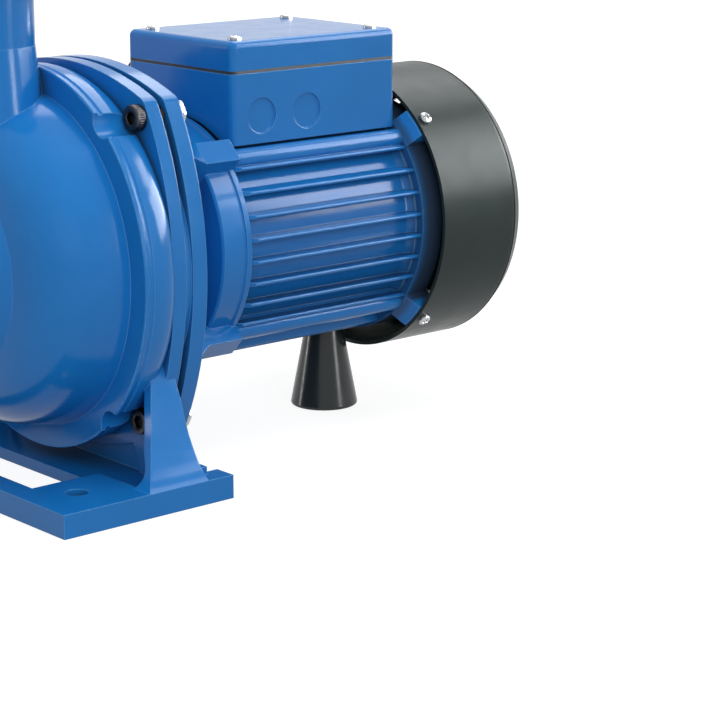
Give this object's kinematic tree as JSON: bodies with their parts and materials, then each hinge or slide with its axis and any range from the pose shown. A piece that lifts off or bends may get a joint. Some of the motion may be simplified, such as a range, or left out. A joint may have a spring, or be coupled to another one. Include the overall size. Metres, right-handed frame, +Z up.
{
  "type": "electric centrifugal pump",
  "caption": "Close-coupled electric centrifugal water pump: round volute casing on a cast foot, finned motor with terminal box, fan cover and rubber rear support.",
  "frame": {"origin": "on the floor, midway along and across the whole pump", "axes": "+X along the shaft from the suction neck to the fan cover, +Y across, away from the side shown, +Z up along the discharge neck"},
  "size_m": [0.3492, 0.218, 0.26],
  "materials": {
    "painted_casting": "satin blue enamel over cast iron",
    "painted_frame": "satin blue enamel over cast aluminium",
    "gasket": "matt",
    "zinc_steel": "zinc plated",
    "core_steel": "laminated",
    "brass": "machined",
    "black_plastic": "semi-matt black",
    "black_rubber": "matt black"
  },
  "bodies": {
    "root": {"bearings": "zinc_steel", "box_gasket": "gasket", "box_lid": "painted_frame", "casing_gasket": "gasket", "cooling_fan": "black_plastic", "cover_screws": "zinc_steel", "drain_plug": "brass", "fan_cover": "black_plastic", "flange_bolts": "zinc_steel", "gland_body": "black_plastic", "gland_nut": "black_plastic", "gland_seal": "black_rubber", "impeller": "brass", "impeller_nut": "zinc_steel", "lid_screws": "zinc_steel", "motor_bracket": "painted_casting", "motor_frame": "painted_frame", "motor_shaft": "zinc_steel", "priming_plug": "brass", "pump_casing": "painted_casting", "rear_shield": "painted_frame", "rotor_core": "core_steel", "shaft_seal": "black_rubber", "stator_core": "core_steel", "support_foot": "black_rubber", "terminal_box": "painted_frame", "tie_bolts": "zinc_steel"}
  },
  "joints": []
}
